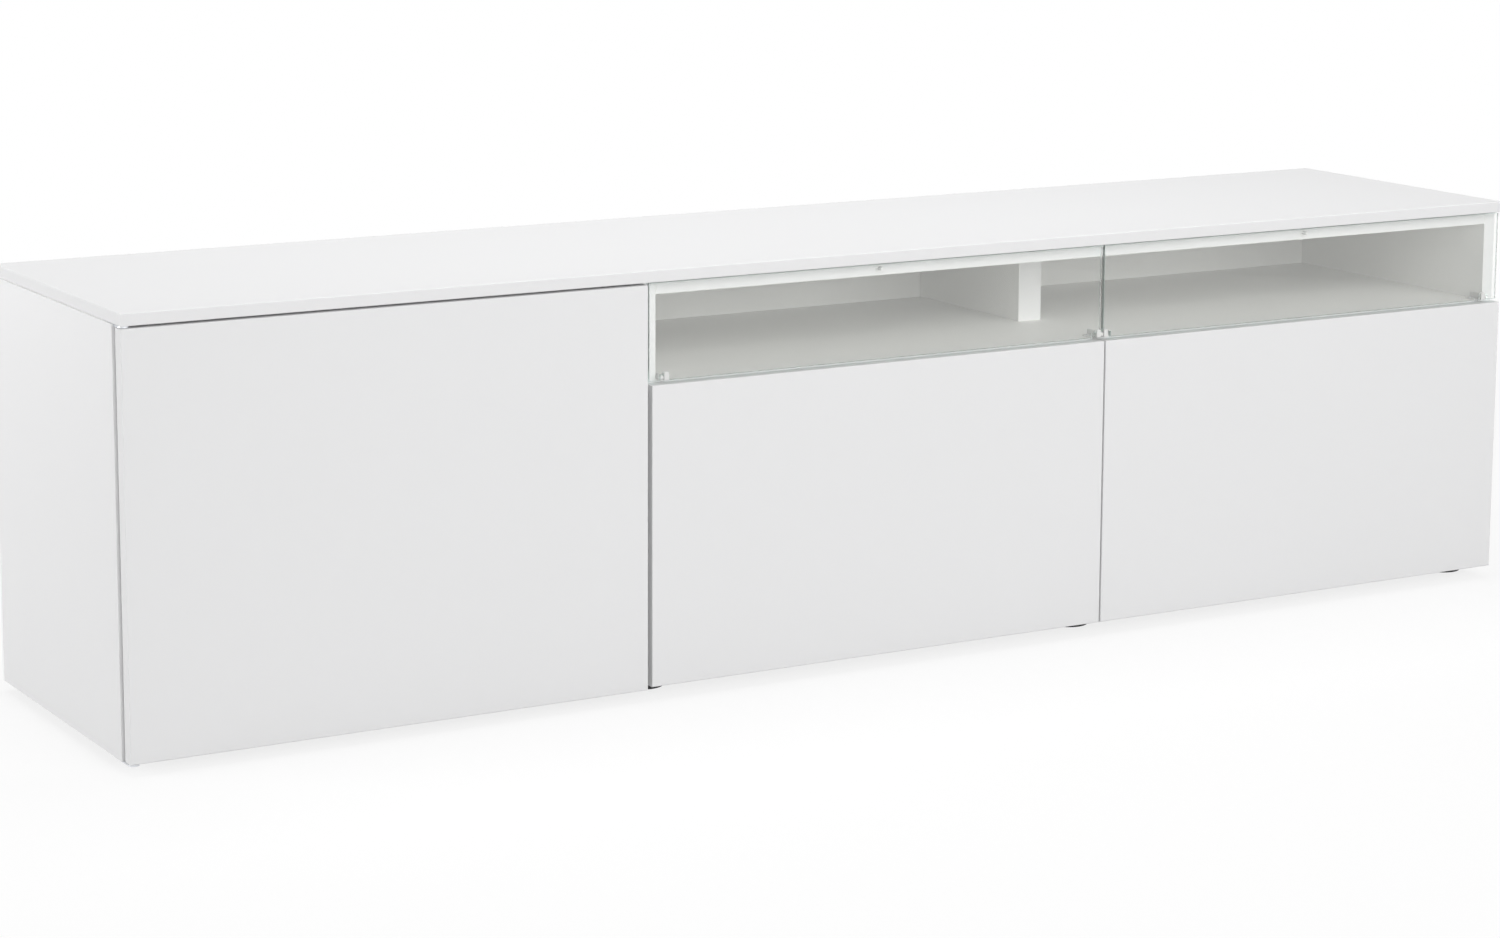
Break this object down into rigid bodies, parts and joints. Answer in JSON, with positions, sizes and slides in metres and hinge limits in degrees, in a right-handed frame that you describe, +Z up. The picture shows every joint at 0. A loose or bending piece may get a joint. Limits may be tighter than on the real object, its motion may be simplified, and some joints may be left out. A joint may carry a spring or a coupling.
{
  "type": "media console",
  "caption": "Low white floor-standing media console with a push-open door, drawers on telescopic runners and a glass-fronted niche under one thin cover slab.",
  "frame": {"origin": "on the floor under the middle of the console", "axes": "+X along the front to the right, -Y out of the front, +Z up"},
  "size_m": [1.8, 0.383, 0.475],
  "materials": {
    "white_board": "matt white laminate",
    "white_lacquer": "silk matt lacquer",
    "white_hardboard": "white foil",
    "clear_glass": "clear, polished edges",
    "zinc_steel": "zinc plated",
    "grey_coated_metal": "light grey powder coat",
    "grey_plastic": "moulded, light grey",
    "white_plastic": "moulded",
    "black_plastic": "moulded",
    "beech": "raw, fluted"
  },
  "bodies": {
    "carcass": {"cover_slab": "white_lacquer", "left_unit_outer_side": "white_board", "left_unit_inner_side": "white_board", "left_unit_bottom": "white_board", "left_unit_top": "white_board", "left_unit_back": "white_hardboard", "adjustable_shelf": "white_board", "shelf_pins": "zinc_steel", "right_unit_inner_side": "white_board", "right_unit_outer_side": "white_board", "right_unit_bottom": "white_board", "right_unit_top": "white_board", "right_unit_back": "white_hardboard", "niche_floor": "white_board", "niche_divider": "white_board", "drawer_partition": "white_board", "unit_bolts": "zinc_steel", "carcass_dowels": "beech", "cover_screws": "zinc_steel", "glide_feet": "black_plastic", "door_bottom_leaf": "zinc_steel", "door_top_leaf": "zinc_steel", "hinge_leaf_screws": "zinc_steel", "middle_flap_bracket": "grey_coated_metal", "right_flap_bracket": "grey_coated_metal", "flap_centre_bracket": "grey_coated_metal", "latch_sleeves": "white_plastic", "middle_drawer_cabinet_rails": "zinc_steel", "right_drawer_cabinet_rails": "zinc_steel"},
    "door": {"door_panel": "white_lacquer", "door_pivot_bushes": "white_plastic", "door_strike": "zinc_steel"},
    "middle_drawer": {"middle_drawer_front": "white_lacquer", "middle_drawer_left_side": "white_board", "middle_drawer_right_side": "white_board", "middle_drawer_back": "white_board", "middle_drawer_bottom": "white_hardboard", "middle_drawer_left_rail": "zinc_steel", "middle_drawer_right_rail": "zinc_steel", "middle_drawer_strike": "zinc_steel"},
    "middle_drawer_runners": {"middle_drawer_middle_members": "zinc_steel"},
    "right_drawer": {"right_drawer_front": "white_lacquer", "right_drawer_left_side": "white_board", "right_drawer_right_side": "white_board", "right_drawer_back": "white_board", "right_drawer_bottom": "white_hardboard", "right_drawer_left_rail": "zinc_steel", "right_drawer_right_rail": "zinc_steel", "right_drawer_strike": "zinc_steel"},
    "right_drawer_runners": {"right_drawer_middle_members": "zinc_steel"},
    "middle_flap": {"middle_glass_pane": "clear_glass", "middle_flap_shoes": "grey_plastic"},
    "right_flap": {"right_glass_pane": "clear_glass", "right_flap_shoes": "grey_plastic"},
    "door_plunger": {"door_latch_plunger": "white_plastic"},
    "middle_drawer_plunger": {"middle_drawer_latch_plunger": "white_plastic"},
    "right_drawer_plunger": {"right_drawer_latch_plunger": "white_plastic"},
    "middle_flap_plunger": {"middle_flap_latch_plunger": "white_plastic"},
    "right_flap_plunger": {"right_flap_latch_plunger": "white_plastic"}
  },
  "joints": [
    {"name": "door_swing", "type": "hinge", "parent": "carcass", "child": "door", "pos_m": [-0.8915, -0.1835, 0.236], "axis": [0, 0, -1], "range_deg": [0, 100]},
    {"name": "middle_drawer_slide", "type": "slide", "parent": "carcass", "child": "middle_drawer", "axis": [0, -1, 0], "range_m": [0, 0.33]},
    {"name": "middle_drawer_runners_slide", "type": "slide", "parent": "carcass", "child": "middle_drawer_runners", "axis": [0, -1, 0], "range_m": [0, 0.165]},
    {"name": "right_drawer_slide", "type": "slide", "parent": "carcass", "child": "right_drawer", "axis": [0, -1, 0], "range_m": [0, 0.33]},
    {"name": "right_drawer_runners_slide", "type": "slide", "parent": "carcass", "child": "right_drawer_runners", "axis": [0, -1, 0], "range_m": [0, 0.165]},
    {"name": "middle_flap_fold", "type": "hinge", "parent": "carcass", "child": "middle_flap", "pos_m": [0, -0.182, 0.356], "axis": [1, 0, 0], "range_deg": [0, 90]},
    {"name": "right_flap_fold", "type": "hinge", "parent": "carcass", "child": "right_flap", "pos_m": [0.6, -0.182, 0.356], "axis": [1, 0, 0], "range_deg": [0, 90]},
    {"name": "door_latch_press", "type": "slide", "parent": "carcass", "child": "door_plunger", "axis": [0, 1, 0], "range_m": [0, 0.002], "stiffness_N_per_m": 300, "springref_m": -0.01},
    {"name": "middle_drawer_latch_press", "type": "slide", "parent": "carcass", "child": "middle_drawer_plunger", "axis": [0, 1, 0], "range_m": [0, 0.002], "stiffness_N_per_m": 300, "springref_m": -0.01},
    {"name": "right_drawer_latch_press", "type": "slide", "parent": "carcass", "child": "right_drawer_plunger", "axis": [0, 1, 0], "range_m": [0, 0.002], "stiffness_N_per_m": 300, "springref_m": -0.01},
    {"name": "middle_flap_latch_press", "type": "slide", "parent": "carcass", "child": "middle_flap_plunger", "axis": [0, 1, 0], "range_m": [0, 0.002], "stiffness_N_per_m": 300, "springref_m": -0.01},
    {"name": "right_flap_latch_press", "type": "slide", "parent": "carcass", "child": "right_flap_plunger", "axis": [0, 1, 0], "range_m": [0, 0.002], "stiffness_N_per_m": 300, "springref_m": -0.01}
  ],
  "couplings": [
    {"joint": "middle_drawer_runners_slide", "follows": "middle_drawer_slide", "ratio": 0.5},
    {"joint": "right_drawer_runners_slide", "follows": "right_drawer_slide", "ratio": 0.5}
  ]
}
